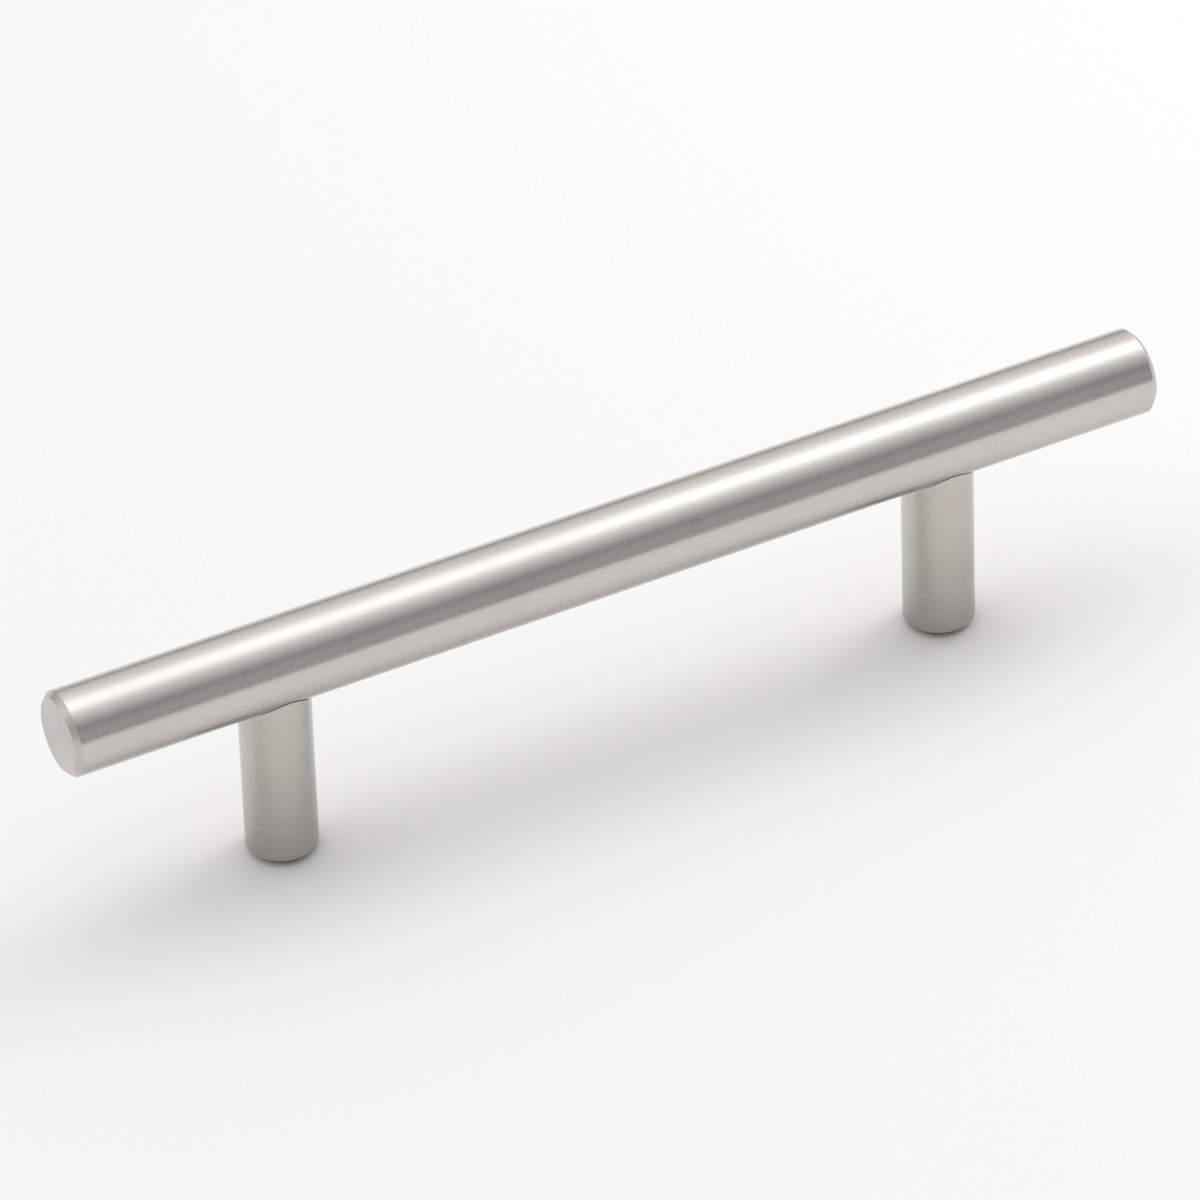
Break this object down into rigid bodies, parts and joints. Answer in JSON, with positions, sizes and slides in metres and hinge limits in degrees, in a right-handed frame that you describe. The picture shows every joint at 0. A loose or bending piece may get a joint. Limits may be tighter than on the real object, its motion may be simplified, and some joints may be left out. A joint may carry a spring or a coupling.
{
  "type": "t bar cabinet pull",
  "caption": "Round T-bar cabinet pull: a straight chamfered bar on slimmer round posts coped to it, tapped from below for mounting screws.",
  "frame": {"origin": "on the mounting plane, half way between the centres of the two posts", "axes": "+X along the bar, +Y across it, +Z away from the drawer front and through the posts"},
  "size_m": [0.156, 0.0114, 0.035],
  "materials": {
    "satin_bar": "satin nickel look, fine brushing round the bar",
    "satin_post": "satin nickel look, fine turned lines round the post",
    "set_screw": "black oxide on alloy steel"
  },
  "bodies": {
    "root": {"bar": "satin_bar", "left_post": "satin_post", "right_post": "satin_post", "left_stud": "set_screw", "right_stud": "set_screw"}
  },
  "joints": []
}
